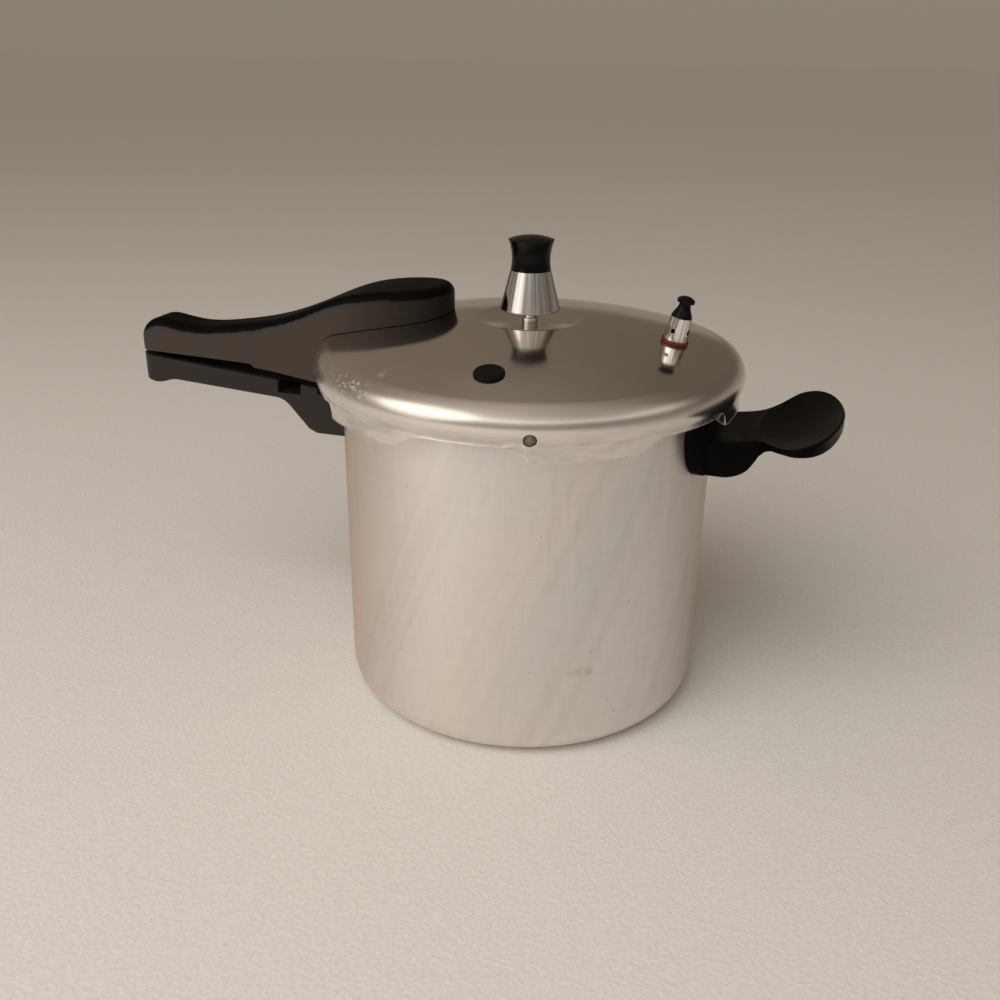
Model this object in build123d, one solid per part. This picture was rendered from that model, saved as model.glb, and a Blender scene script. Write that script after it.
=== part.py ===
from build123d import *
from math import acos, asin, atan2, cos, degrees, radians, sin, sqrt
import os

# A stovetop pressure cooker with a bayonet lid, in millimetres.
# The origin is the middle of the pot's base, +Z is up, the short helper handle
# points along +X and the long two-part handle along -X.

# Pot
pot_radius = 110.0
pot_height = 203.0
pot_wall = 3.0
pot_floor = 5.0
pot_corner = 16.0
rim_bead = 2.0
rim_bead_height = 10.5
rim_edge_round = 0.8

# Bayonet, shared by pot and lid
lug_count = 6
pot_lug_reach = 7.5
pot_lug_height = 6.5
pot_lug_drop = 2.5
pot_lug_arc = 18.0
lug_side_gap = 1.0
lug_under_gap = 0.6
lug_throat_gap = 0.5

# Lid
lid_wall = 3.0
lid_bulge = 2.3
lid_wide_above_rim = 0.4
shoulder_radius = 12.8
dome_edge_slope = 15.6
dish_radius = 32.0
dish_floor_radius = 12.0
dish_depth = 3.0
dish_crest_round = 12.0
lid_lug_height = 6.4
lid_lug_arc_low = 26.6
lid_lug_arc_high = 38.4
scallop_rise = 7.7
scallop_round = 16.0
scallop_drop = 0.6
facet_lean = 25.0
facet_wheel = 16.0
facet_depth = 1.9
window_radius = 3.7
window_angle = -73.3
window_rise = 12.0

# Gasket
gasket_lip = 3.0
gasket_height_gap = 0.3
gasket_fit = 0.4
gasket_groove_height = 3.2
gasket_groove_depth = 7.0

# Fits used in many places
seat_gap = 0.3
close_gap = 0.1
overcut = 5.0

# Vent pipe at the middle of the lid
vent_collar_radius = 4.6
vent_collar_height = 2.8
vent_pipe_radius = 3.15
vent_pipe_top = 16.6
vent_bore_radius = 1.3
vent_thread_radius = 4.0
vent_tail = 10.0
vent_washer_radius = 8.0
vent_washer_thickness = 1.5
vent_nut_across = 13.0
vent_nut_height = 4.6

# Pressure regulator
weight_base_radius = 17.5
weight_top_radius = 11.6
weight_height = 22.8
weight_above_collar = 4.6
weight_bore_gap = 0.45
weight_edge_round = 0.9
weight_stud_radius = 5.0
weight_stud_height = 9.0
cap_waist_radius = 11.1
cap_top_radius = 13.2
cap_height = 19.4
cap_waist_height = 7.6
cap_crown = 2.4
needle_head_thickness = 2.0
needle_tip_radius = 0.9
needle_tip_length = 2.2

# Overpressure plug
plug_from_edge = 34.3
plug_angle = -86.6
plug_head_radius = 8.3
plug_head_height = 1.9
plug_head_round = 1.5
plug_neck_radius = 5.8
plug_bulb_radius = 7.4
plug_bulb_height = 3.2

# Safety valve
valve_from_edge = 40.8
valve_angle = 0.0
valve_ring_radius = 7.75
valve_ring_thickness = 1.7
valve_base_radius = 6.85
valve_top_radius = 5.95
valve_height = 13.0
valve_wall = 1.9
valve_roof = 1.6
valve_floor = 1.1
valve_port_radius = 1.35
valve_port_count = 4
valve_port_rise = 5.6
valve_port_turn = -18.0
valve_thread_radius = 4.6
valve_inlet_radius = 2.2
valve_tail = 8.0
valve_nut_across = 13.0
valve_nut_height = 4.0
poppet_radius = 3.9
poppet_thickness = 2.0
stem_radius = 1.6
stem_in_cap = 5.4
valve_cap_height = 11.6
valve_cap_neck_radius = 3.3
valve_cap_neck_rise = 7.4
valve_cap_flare_radius = 5.0
valve_cap_flare_thickness = 3.4
valve_cap_rim = 1.5
spring_wire_radius = 0.4
spring_turns = 4
spring_play = 0.35

# Long handle, lengths from the pot's wall and heights from the pot's rim
handle_length = 152.2
grip_half_width = 14.0
grip_end_round = 11.0
grip_neck_length = 74.0
upper_top_line = [
    (154.2, -16.0), (152.0, -7.5), (149.6, -1.2), (146.3, 3.4), (141.8, 6.6), (136.5, 8.0), (129.0, 7.4),
    (113.5, 5.5), (82.6, 8.3), (48.0, 15.8), (27.0, 23.7), (16.0, 28.6), (-3.0, 35.7), (-24.0, 39.7),
    (-66.0, 43.0)]
grip_low_end = -12.9
grip_low_step = -14.9
step_length = 67.0
step_drop = 2.2
block_low = -19.8
oval_half_width = 28.5
oval_past_edge = 38.0
nose_past_edge = 77.0
upper_top_round = 6.5
upper_hollow_wall = 4.0
upper_hollow_roof = 7.0
upper_hollow_start = 32.0

# Lower half of the long handle
lower_tail_line = [
    (126.0, -31.9), (131.0, -32.4), (135.5, -33.9), (140.0, -34.8), (145.5, -34.2), (149.2, -31.5),
    (151.4, -26.0)]
lower_tail_top = -19.0
lower_top_end = -15.6
lower_top_root = -26.0
lower_low_root = -36.3
lower_root_length = 48.2
lower_foot_length = 26.0
lower_foot_low = -57.0
lower_toe_length = 5.5
lower_toe_rise = 2.4
lower_toe_round = 4.0
lower_root_round = 14.0
lower_bottom_round = 3.0
lower_hollow_wall = 4.0
lower_hollow_floor = 4.0
lower_hollow_start = 34.0
notch_start = 34.8
notch_end = 51.0
notch_floor = -31.8
lid_relief_length = 23.5
lid_relief_depth = 4.0

# Helper handle, lengths from the pot's wall and heights from the pot's rim
helper_block_half_width = 31.0
helper_waist_half_width = 29.5
helper_waist_length = 24.0
helper_wing_half_width = 53.0
helper_wing_length = 49.0
helper_length = 71.8
helper_top_line = [(0.0, -26.0), (25.0, -23.2), (40.0, -18.9), (77.5, -10.3)]
helper_under_line = [
    (12.0, -46.0), (18.5, -44.2), (23.6, -40.9), (26.9, -36.3), (29.1, -32.3), (31.7, -27.6), (36.0, -24.0)]
helper_rim_thickness = 3.4
helper_ledge = 0.8
helper_ledge_height = -29.5
helper_saddle_half_width = 45.0
helper_saddle_foot_half_width = 30.0
helper_saddle_top = -15.0
helper_saddle_lip = 1.2
helper_saddle_depth = 26.0
helper_dish_depth = 5.0
helper_dish_wall = 3.0
helper_dish_shift = -2.0
helper_rim_land = 2.4
helper_edge_round = 1.5

# Brackets on the pot wall and their fasteners
bracket_thickness = 2.5
bracket_tang_width = 12.0
bracket_tang_height = 7.0
long_bracket_half_width = 10.0
long_bracket_height = 25.0
long_bracket_z = -41.0
long_tang_length = 28.0
long_screw_length = 17.0
helper_bracket_half_width = 17.0
helper_bracket_height = 13.0
helper_bracket_z = -35.5
helper_tang_length = 18.0
helper_screw_length = 10.0
rivet_radius = 2.0
rivet_head_radius = 3.2
rivet_head_height = 1.5
rivet_inset = 4.4
handle_screw_radius = 2.0
handle_screw_head_radius = 4.0
handle_screw_head_height = 2.6
handle_screw_sink = 1.0
handle_screw_past = 3.0
screw_slot_width = 1.0
screw_slot_depth = 1.0

# Screws that hold the upper half to the lid
lid_screw_pitch = 25.0
lid_washer_to_gasket = 1.0
lid_screw_radius = 2.4
lid_screw_head_radius = 4.4
lid_screw_head_height = 2.8
lid_washer_radius = 6.0
lid_washer_thickness = 1.2
insert_radius = 4.0
insert_length = 9.0
insert_lift = 0.8

# Sizes that follow from the ones above
rim_radius = pot_radius + rim_bead
pot_inner_radius = pot_radius - pot_wall
pot_lug_radius = rim_radius + pot_lug_reach
pot_lug_top = pot_height - pot_lug_drop
pot_lug_low = pot_lug_top - pot_lug_height
skirt_inner_radius = pot_lug_radius + lug_side_gap
skirt_radius = skirt_inner_radius + lid_wall
lid_radius = skirt_radius + lid_bulge
lid_lug_radius = rim_radius + lug_throat_gap
lid_lug_top = pot_lug_low - lug_under_gap
lid_low = lid_lug_top - lid_lug_height
lid_wide_z = pot_height + lid_wide_above_rim
shoulder_centre = lid_radius - shoulder_radius
lug_pitch = 360.0 / lug_count
dome_tangent_radius = shoulder_centre + shoulder_radius * sin(radians(dome_edge_slope))
dome_tangent_z = lid_wide_z + shoulder_radius * cos(radians(dome_edge_slope))
dome_ball = dome_tangent_radius / sin(radians(dome_edge_slope))
dome_ball_z = dome_tangent_z - dome_ball * cos(radians(dome_edge_slope))
gasket_inner_radius = pot_inner_radius - gasket_lip
plug_reach = lid_radius - plug_from_edge
valve_reach = lid_radius - valve_from_edge
lid_screw_reach = gasket_inner_radius - lid_washer_to_gasket - lid_washer_radius


def dome_height(radius, depth=0.0):
    """Height of the dome at a radius, on its outside or a depth below it."""
    return dome_ball_z + sqrt((dome_ball - depth) ** 2 - radius ** 2)


dish_floor_z = dome_height(dish_radius) - dish_depth


# Small shape makers
def disc(radius, low, high):
    """A round bar on the Z axis between two heights."""
    middle = (Align.CENTER, Align.CENTER, Align.MIN)
    return Pos(0, 0, low) * Cylinder(radius, high - low, align=middle)


def tube(outer, inner, low, high):
    """A round tube on the Z axis between two heights."""
    return disc(outer, low, high) - disc(inner, low - overcut, high + overcut)


def hexagon(across_flats, low, high):
    """A hexagonal bar on the Z axis between two heights."""
    return extrude(Pos(0, 0, low) * RegularPolygon(across_flats / 2, 6, major_radius=False), high - low)


def turned(*points):
    """A solid of revolution about Z from (radius, height) corners."""
    return revolve(make_face(Polyline(*[(r, 0, z) for r, z in points], close=True)), Axis.Z)


def arc(centre_r, centre_z, radius, start, end):
    """An arc in the XZ plane between two angles in degrees."""
    def at(angle):
        turn = radians(angle)
        return (centre_r + radius * cos(turn), 0, centre_z + radius * sin(turn))
    return ThreePointArc(at(start), at((start + end) / 2), at(end))


def crown_arc(edge_radius, edge_z, rise):
    """A shallow round cap in the XZ plane, from its edge to its top on the Z axis."""
    ball = (edge_radius ** 2 + rise ** 2) / (2 * rise)
    return arc(0, edge_z + rise - ball, ball, degrees(acos(edge_radius / ball)), 90)


def brick(x_range, y_range, z_range):
    """A box between two limits on each axis."""
    spans = [x_range, y_range, z_range]
    middle = [(low + high) / 2 for low, high in spans]
    return Pos(*middle) * Box(*[high - low for low, high in spans])


def slab(outline, half_width):
    """A side outline in the XZ plane pulled out evenly to both sides."""
    return extrude(Pos(0, -half_width, 0) * outline, 2 * half_width, dir=(0, 1, 0))


def on_lid(reach, angle):
    """The place on the dome at a reach and an angle, with Z square to the surface."""
    tilt = degrees(asin(reach / dome_ball))
    return Rot(0, 0, angle) * Pos(reach, 0, dome_height(reach)) * Rot(0, tilt, 0)


def circle_edges(solid, radius, height, slack=0.05):
    """The round edges about Z at a radius and a height."""
    found = []
    for edge in solid.edges().filter_by(GeomType.CIRCLE):
        middle = edge.arc_center
        on_axis = abs(middle.X) < slack and abs(middle.Y) < slack
        if on_axis and abs(edge.radius - radius) < slack and abs(middle.Z - height) < slack:
            found.append(edge)
    return found


def save(name, shape):
    """Write one piece as a STEP file named after it."""
    shape.label = name
    export_step(shape, f"parts/{name}.step")


# Pot
def make_pot():
    inner_corner = pot_corner - pot_wall
    bead_low = pot_height - rim_bead_height
    outline = [
        Line((0, 0, 0), (pot_radius - pot_corner, 0, 0)),
        arc(pot_radius - pot_corner, pot_corner, pot_corner, -90, 0),
        Polyline(
            (pot_radius, 0, pot_corner),
            (pot_radius, 0, bead_low - rim_bead),
            (rim_radius, 0, bead_low),
            (rim_radius, 0, pot_height),
            (pot_inner_radius, 0, pot_height),
            (pot_inner_radius, 0, pot_floor + inner_corner),
        ),
        arc(pot_inner_radius - inner_corner, pot_floor + inner_corner, inner_corner, 0, -90),
        Polyline((pot_inner_radius - inner_corner, 0, pot_floor), (0, 0, pot_floor), (0, 0, 0)),
    ]
    pot = revolve(make_face(outline), Axis.Z)
    rim_edges = circle_edges(pot, rim_radius, pot_height) + circle_edges(pot, pot_inner_radius, pot_height)
    pot = fillet(rim_edges, rim_edge_round)
    root = rim_radius - rim_bead / 2
    section = make_face(Polyline(
        (root, 0, pot_lug_low), (pot_lug_radius, 0, pot_lug_low),
        (pot_lug_radius, 0, pot_lug_top), (root, 0, pot_lug_top), close=True))
    lug = revolve(section, Axis.Z, pot_lug_arc)
    for index in range(lug_count):
        pot += Rot(0, 0, index * lug_pitch - pot_lug_arc / 2) * lug
    for hole in rivet_places():
        pot -= hole * rivet_hole()
    return pot


# Lid
def lid_section():
    inner_shoulder = shoulder_radius - lid_wall
    step_turn = degrees(acos((skirt_radius - shoulder_centre) / shoulder_radius))
    inner_turn = degrees(acos((skirt_inner_radius - shoulder_centre) / inner_shoulder))
    crest = degrees(asin(dish_radius / dome_ball))
    inner_ball = dome_ball - lid_wall
    inner_crest = degrees(asin(dish_radius / inner_ball))
    edge = 90 - dome_edge_slope
    crest_z = dome_height(dish_radius)
    inner_crest_z = dome_height(dish_radius, lid_wall)
    step_z = lid_wide_z - shoulder_radius * sin(radians(step_turn))
    inner_step_z = lid_wide_z - inner_shoulder * sin(radians(inner_turn))
    floor_z = dish_floor_z
    return make_face([
        Polyline((0, 0, floor_z), (dish_floor_radius, 0, floor_z), (dish_radius, 0, crest_z)),
        arc(0, dome_ball_z, dome_ball, 90 - crest, edge),
        arc(shoulder_centre, lid_wide_z, shoulder_radius, edge, -step_turn),
        Polyline(
            (skirt_radius, 0, step_z), (skirt_radius, 0, lid_low), (lid_lug_radius, 0, lid_low),
            (lid_lug_radius, 0, lid_lug_top), (skirt_inner_radius, 0, lid_lug_top),
            (skirt_inner_radius, 0, inner_step_z)),
        arc(shoulder_centre, lid_wide_z, inner_shoulder, -inner_turn, edge),
        arc(0, dome_ball_z, inner_ball, edge, 90 - inner_crest),
        Polyline(
            (dish_radius, 0, inner_crest_z), (dish_floor_radius, 0, floor_z - lid_wall),
            (0, 0, floor_z - lid_wall), (0, 0, floor_z)),
    ])


def scallop():
    """The cutter for one gap between two lid lugs, about +X."""
    half_low = skirt_radius * sin(radians((lug_pitch - lid_lug_arc_low) / 2))
    half_high = skirt_radius * sin(radians((lug_pitch - lid_lug_arc_high) / 2))
    slope = (half_low - half_high) / scallop_rise
    half_below = half_low + slope * scallop_drop
    half_foot = half_below + scallop_round
    wall = Polyline(
        (-half_foot, -overcut), (-half_foot, -scallop_drop), (-half_below, -scallop_drop),
        (-half_high, scallop_rise), (half_high, scallop_rise),
        (half_below, -scallop_drop), (half_foot, -scallop_drop), (half_foot, -overcut), close=True)
    outline = make_face(wall)
    corners = [corner for corner in outline.vertices() if abs(corner.X) < half_foot - scallop_round / 2]
    outline = fillet(corners, scallop_round)
    face_out = Plane(origin=(pot_radius - pot_wall, 0, lid_low), x_dir=(0, 1, 0), z_dir=(1, 0, 0))
    return extrude(face_out * outline, lid_radius - pot_radius + pot_wall + overcut)


def lug_facet():
    """The round wheel that grinds the leading edge of one lid lug, about +X."""
    run = skirt_radius * radians((lid_lug_arc_high - lid_lug_arc_low) / 2)
    slant = atan2(scallop_rise, run)
    along = Vector(0, cos(slant), -sin(slant))
    across = Vector(0, -sin(slant), -cos(slant))
    lean = radians(facet_lean)
    outward = Vector(cos(lean), 0, 0) + across * sin(lean)
    middle = Vector(skirt_radius, 0, lid_low + scallop_rise / 2) + outward * (facet_wheel - facet_depth)
    wheel = Plane(origin=middle, x_dir=along, z_dir=outward.cross(along)) * Cylinder(facet_wheel, facet_wheel)
    return Rot(0, 0, -(lid_lug_arc_high + lid_lug_arc_low) / 4) * wheel


def make_lid():
    lid = revolve(lid_section(), Axis.Z)
    crest_z = dome_height(dish_radius)
    lid = fillet(circle_edges(lid, dish_radius, crest_z), dish_crest_round)
    turns = [index * lug_pitch for index in range(lug_count)]
    lid -= [Rot(0, 0, turn + lug_pitch / 2) * scallop() for turn in turns]
    lid -= [Rot(0, 0, turn) * lug_facet() for turn in turns]
    window = Rot(0, 0, window_angle) * Pos(skirt_radius, 0, lid_low + window_rise) * Rot(0, 90, 0)
    lid -= window * Cylinder(window_radius, 8 * lid_wall)
    lid -= disc(vent_thread_radius + close_gap, lid_low, dish_floor_z + lid_wall)
    for place, radius in lid_holes():
        lid -= place * disc(radius, -4 * lid_wall, 2 * lid_wall)
    return lid


def lid_holes():
    """Every hole through the dome, with its radius."""
    holes = [
        (on_lid(plug_reach, plug_angle), plug_neck_radius + close_gap),
        (on_lid(valve_reach, valve_angle), valve_thread_radius + close_gap),
    ]
    for place in lid_screw_places():
        holes.append((place, lid_screw_radius + seat_gap))
    return holes


def lid_screw_places():
    return [on_lid(lid_screw_reach - lid_screw_pitch, 180), on_lid(lid_screw_reach, 180)]


def lid_envelope(gap):
    """The lid's outside without its undercut skirt, grown by a gap, as a cutter."""
    foot = lid_low - 2 * lid_lug_height
    edge = 90 - dome_edge_slope
    wide = lid_radius + gap
    ball = dome_ball + gap
    return revolve(make_face([
        Polyline((0, 0, dome_ball_z + ball), (0, 0, foot), (wide, 0, foot), (wide, 0, lid_wide_z)),
        arc(shoulder_centre, lid_wide_z, shoulder_radius + gap, 0, edge),
        arc(0, dome_ball_z, ball, edge, 90),
    ]), Axis.Z)


def make_gasket():
    inner = gasket_inner_radius
    outer = skirt_inner_radius - gasket_fit
    low = pot_height + gasket_height_gap
    inner_shoulder = shoulder_radius - lid_wall - gasket_fit
    edge = 90 - dome_edge_slope
    outer_turn = degrees(acos((outer - shoulder_centre) / inner_shoulder))
    outer_z = lid_wide_z + inner_shoulder * sin(radians(outer_turn))
    top_inner = dome_height(inner, lid_wall + gasket_fit)
    inner_slope = degrees(asin(inner / (dome_ball - lid_wall - gasket_fit)))
    section = make_face([
        Polyline((inner, 0, top_inner), (inner, 0, low), (outer, 0, low), (outer, 0, outer_z)),
        arc(shoulder_centre, lid_wide_z, inner_shoulder, outer_turn, edge),
        arc(0, dome_ball_z, dome_ball - lid_wall - gasket_fit, edge, 90 - inner_slope),
    ])
    middle = (low + outer_z) / 2
    groove_low = middle - gasket_groove_height / 2
    groove_high = middle + gasket_groove_height / 2
    groove = tube(inner + gasket_groove_depth, inner - overcut, groove_low, groove_high)
    return revolve(section, Axis.Z) - groove


# Vent pipe, its washer and its nut
def make_vent_pipe():
    base = dish_floor_z + close_gap
    tail = dish_floor_z - lid_wall - vent_tail
    pipe = disc(vent_collar_radius, base, base + vent_collar_height)
    pipe += disc(vent_pipe_radius, base, base + vent_collar_height + vent_pipe_top)
    pipe += disc(vent_thread_radius, tail, base)
    return pipe - disc(vent_bore_radius, tail - overcut, base + vent_collar_height + vent_pipe_top + overcut)


def under_vent(depth):
    """Height at a depth below the lid's underside at the vent pipe."""
    return dish_floor_z - lid_wall - close_gap - depth


def make_vent_washer():
    thread = vent_thread_radius + close_gap
    return tube(vent_washer_radius, thread, under_vent(vent_washer_thickness), under_vent(0))


def make_vent_nut():
    top = under_vent(vent_washer_thickness + close_gap)
    nut = hexagon(vent_nut_across, top - vent_nut_height, top)
    return nut - disc(vent_thread_radius + close_gap, top - 2 * vent_nut_height, top + overcut)


# Pressure regulator
weight_low = dish_floor_z + close_gap + vent_collar_height + weight_above_collar
weight_top = weight_low + weight_height
pipe_end = dish_floor_z + close_gap + vent_collar_height + vent_pipe_top
bore_radius = vent_pipe_radius + weight_bore_gap
bore_top = pipe_end + seat_gap + needle_head_thickness


def make_weight():
    body = turned((0, weight_low), (weight_base_radius, weight_low),
                  (weight_top_radius, weight_top), (0, weight_top))
    edge = circle_edges(body, weight_base_radius, weight_low)
    body = fillet(edge, weight_edge_round)
    body += disc(weight_stud_radius, weight_top, weight_top + weight_stud_height)
    return body - disc(bore_radius, weight_low - overcut, bore_top)


def make_needle():
    head = disc(bore_radius - close_gap / 2, pipe_end + seat_gap, bore_top)
    tip = turned((0, pipe_end + seat_gap - needle_tip_length), (needle_tip_radius, pipe_end + seat_gap),
                 (0, pipe_end + seat_gap))
    return head + tip


def make_weight_cap():
    low = weight_top + close_gap
    waist = low + cap_waist_height
    shoulder = low + cap_height - cap_crown
    side = Spline((weight_top_radius, 0, low), (cap_waist_radius, 0, waist), (cap_top_radius, 0, shoulder))
    crown = crown_arc(cap_top_radius, shoulder, cap_crown)
    inside = Polyline((0, 0, shoulder + cap_crown), (0, 0, low), (weight_top_radius, 0, low))
    cap = revolve(make_face([side, crown, inside]), Axis.Z)
    pocket_top = weight_top + weight_stud_height + close_gap
    return cap - disc(weight_stud_radius + close_gap, low - overcut, pocket_top)


# Overpressure plug, in the frame of its hole
def make_plug():
    head = disc(plug_head_radius, close_gap, plug_head_height)
    head = fillet(circle_edges(head, plug_head_radius, plug_head_height), plug_head_round)
    under = -lid_wall - close_gap
    plug = head + disc(plug_neck_radius, under - plug_bulb_height, plug_head_height / 2)
    plug += turned((0, under), (plug_bulb_radius, under), (plug_neck_radius, under - plug_bulb_height),
                   (0, under - plug_bulb_height))
    return on_lid(plug_reach, plug_angle) * plug


# Safety valve, in the frame of its hole
valve_seat = valve_ring_thickness + 2 * close_gap
chamber_radius = valve_top_radius - valve_wall
valve_top = valve_seat + valve_height
chamber_top = valve_top - valve_roof
chamber_low = valve_seat + valve_floor
poppet_low = chamber_low + seat_gap
poppet_top = poppet_low + poppet_thickness
valve_place = on_lid(valve_reach, valve_angle)


def make_valve_ring():
    inner = valve_thread_radius + close_gap
    return valve_place * tube(valve_ring_radius, inner, close_gap, close_gap + valve_ring_thickness)


def make_valve_body():
    tail = -lid_wall - valve_tail
    body = turned(
        (0, valve_seat), (valve_base_radius, valve_seat), (valve_top_radius, valve_top), (0, valve_top))
    body += disc(valve_thread_radius, tail, valve_seat)
    body -= disc(chamber_radius, chamber_low, chamber_top)
    body -= disc(valve_inlet_radius, tail - overcut, chamber_low + overcut)
    body -= disc(stem_radius + seat_gap, chamber_top - overcut, valve_top + overcut)
    middle = (Align.CENTER, Align.CENTER, Align.MIN)
    port = Pos(0, 0, valve_seat + valve_port_rise) * Rot(0, 90, 0)
    port = port * Cylinder(valve_port_radius, 2 * valve_base_radius, align=middle)
    for index in range(valve_port_count):
        body -= Rot(0, 0, valve_port_turn + index * 360.0 / valve_port_count) * port
    return valve_place * body


def make_valve_stem():
    stem = disc(poppet_radius, poppet_low, poppet_top)
    stem += disc(stem_radius, poppet_low, valve_top + seat_gap + stem_in_cap)
    return valve_place * stem


def make_valve_cap():
    low = valve_top + seat_gap
    top = low + valve_cap_height
    neck = low + valve_cap_neck_rise
    flare = top - valve_cap_flare_thickness
    side = Spline((valve_top_radius, 0, low), (valve_cap_neck_radius, 0, neck),
                  tangents=[(-0.25, 0, 1), (0, 0, 1)])
    lip = Spline((valve_cap_neck_radius, 0, neck), (valve_cap_flare_radius, 0, flare),
                 tangents=[(0, 0, 1), (1, 0, 0.7)])
    rim_top = flare + valve_cap_rim
    rim = Line((valve_cap_flare_radius, 0, flare), (valve_cap_flare_radius, 0, rim_top))
    crown = crown_arc(valve_cap_flare_radius, rim_top, top - rim_top)
    cap = revolve(make_face([
        side, lip, rim, crown, Polyline((0, 0, top), (0, 0, low), (valve_top_radius, 0, low))]), Axis.Z)
    pocket = disc(stem_radius + close_gap / 2, low - overcut, low + stem_in_cap + close_gap)
    return valve_place * (cap - pocket)


def make_valve_spring():
    coil_radius = (stem_radius + chamber_radius) / 2
    low = poppet_top + spring_play + spring_wire_radius
    high = chamber_top - spring_play - spring_wire_radius
    path = Helix((high - low) / spring_turns, high - low, coil_radius, center=(0, 0, low))
    start = Plane(origin=path @ 0, z_dir=path % 0)
    return valve_place * sweep(start * Circle(spring_wire_radius), path, is_frenet=True)


def make_valve_nut():
    top = -lid_wall - close_gap
    nut = hexagon(valve_nut_across, top - valve_nut_height, top)
    nut -= disc(valve_thread_radius + close_gap, top - 2 * valve_nut_height, top + overcut)
    return valve_place * nut


# Screws, washers and inserts between the lid and the upper half of the long handle
def make_lid_screws():
    under = -lid_wall - 2 * close_gap - lid_washer_thickness
    screw = disc(lid_screw_head_radius, under - lid_screw_head_height, under)
    screw += disc(lid_screw_radius, under - lid_screw_head_height / 2, insert_lift + insert_length)
    slot = Pos(0, 0, under - lid_screw_head_height) * Box(
        screw_slot_width, 4 * lid_screw_head_radius, 2 * screw_slot_depth)
    return Compound(children=[place * (screw - slot) for place in lid_screw_places()])


def make_lid_washers():
    top = -lid_wall - close_gap
    washer = tube(lid_washer_radius, lid_screw_radius + seat_gap, top - lid_washer_thickness, top)
    return Compound(children=[place * washer for place in lid_screw_places()])


def make_lid_inserts():
    insert = tube(insert_radius, lid_screw_radius + close_gap, insert_lift, insert_lift + insert_length)
    return Compound(children=[place * insert for place in lid_screw_places()])


# Long handle. It is drawn along +X and turned to -X when it is done.
half_turn = Rot(0, 0, 180)
handle_end = pot_radius + handle_length
oval_reach = lid_radius - oval_past_edge
nose_reach = lid_radius - nose_past_edge


def rim_z(height):
    return pot_height + height


def profile(points, drop=0.0):
    """Places in the XZ plane from lengths off the pot's wall and heights off its rim."""
    return [(pot_radius + length, 0, rim_z(height) - drop) for length, height in points]


def above(height, outline):
    """A plan outline pulled up from below a height, as a tall cutter."""
    return extrude(Pos(0, 0, rim_z(height) - overcut) * outline, pot_height)


def grip_tip():
    """One half of the rounded far end of the grip, from above."""
    return Spline(
        (handle_end - grip_end_round, grip_half_width), (handle_end, 0), tangents=[(1, 0), (0, -1)])


def upper_plan():
    """Outline of the upper half from above, with its oval end over the lid."""
    half = Spline(
        (nose_reach, 0), (oval_reach, oval_half_width), (pot_radius + grip_neck_length, grip_half_width),
        (handle_end - grip_end_round, grip_half_width),
        tangents=[(0, 1), (1, 0.02), (1, -0.02), (1, 0)])
    tip = grip_tip()
    return make_face([half, tip, half.mirror(Plane.XZ), tip.mirror(Plane.XZ)])


def make_upper_handle():
    crown = Spline(*profile(upper_top_line))
    step_in = pot_radius + step_length
    start = crown @ 0
    finish = crown @ 1
    side = make_face([
        crown,
        Polyline(
            (finish.X, 0, finish.Z), (finish.X, 0, rim_z(block_low)), (pot_radius, 0, rim_z(block_low)),
            (step_in, 0, rim_z(grip_low_step) - step_drop), (step_in + step_drop, 0, rim_z(grip_low_step)),
            (start.X, 0, rim_z(grip_low_end)), (start.X, 0, start.Z)),
    ])
    body = slab(side, 2 * oval_half_width)
    body = body & above(block_low, upper_plan())
    body = fillet(body.faces().sort_by(Axis.Z)[-1].edges(), upper_top_round)
    body -= upper_hollow()
    body -= lid_envelope(seat_gap)
    body = half_turn * body
    pocket = disc(insert_radius + close_gap, 0, insert_lift + insert_length + close_gap)
    for place in lid_screw_places():
        body -= place * pocket
    return body


def upper_hollow():
    """The channel under the grip."""
    roof = Spline(*profile(upper_top_line, upper_hollow_roof))
    inner = pot_radius + upper_hollow_start
    outer = handle_end - grip_end_round
    start = roof @ 0
    finish = roof @ 1
    low = rim_z(block_low) - overcut
    side = make_face([roof, Polyline(
        (finish.X, 0, finish.Z), (finish.X, 0, low), (start.X, 0, low), (start.X, 0, start.Z))])
    half_width = grip_half_width - upper_hollow_wall
    room = brick((inner, outer), (-half_width, half_width), (low, 2 * pot_height))
    return slab(side, half_width) & room


def lower_side():
    """Side outline of the lower half: tail, grip, root and foot."""
    wall = -pot_wall
    toe = (lower_foot_length + lower_toe_length, lower_foot_low + lower_toe_rise)
    root = (lower_root_length, lower_low_root)
    relief = lower_top_root - lid_relief_depth
    (first, low), (second, next_low) = root, lower_tail_line[0]
    tail = Spline(
        *profile(lower_tail_line + [(handle_length, lower_tail_top)]),
        tangents=[(second - first, 0, next_low - low), (0, 0, 1)])
    outline = make_face([tail, Polyline(*profile([
        (handle_length, lower_tail_top), (handle_length, lower_top_end),
        (lid_relief_length, lower_top_root), (lid_relief_length, relief), (wall, relief),
        (wall, lower_foot_low), (lower_foot_length, lower_foot_low), toe, root, lower_tail_line[0]]))])
    for corner, radius in ((toe, lower_toe_round), (root, lower_root_round)):
        place = profile([corner])[0]
        outline = fillet(outline.vertices().sort_by_distance(place)[0], radius)
    return outline


def lower_plan():
    """Outline of the lower half from above."""
    near = pot_radius - pot_wall
    half = Line((near, grip_half_width), (handle_end - grip_end_round, grip_half_width))
    tip = grip_tip()
    close = Line((near, grip_half_width), (near, -grip_half_width))
    return make_face([close, half, tip, half.mirror(Plane.XZ), tip.mirror(Plane.XZ)])


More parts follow.
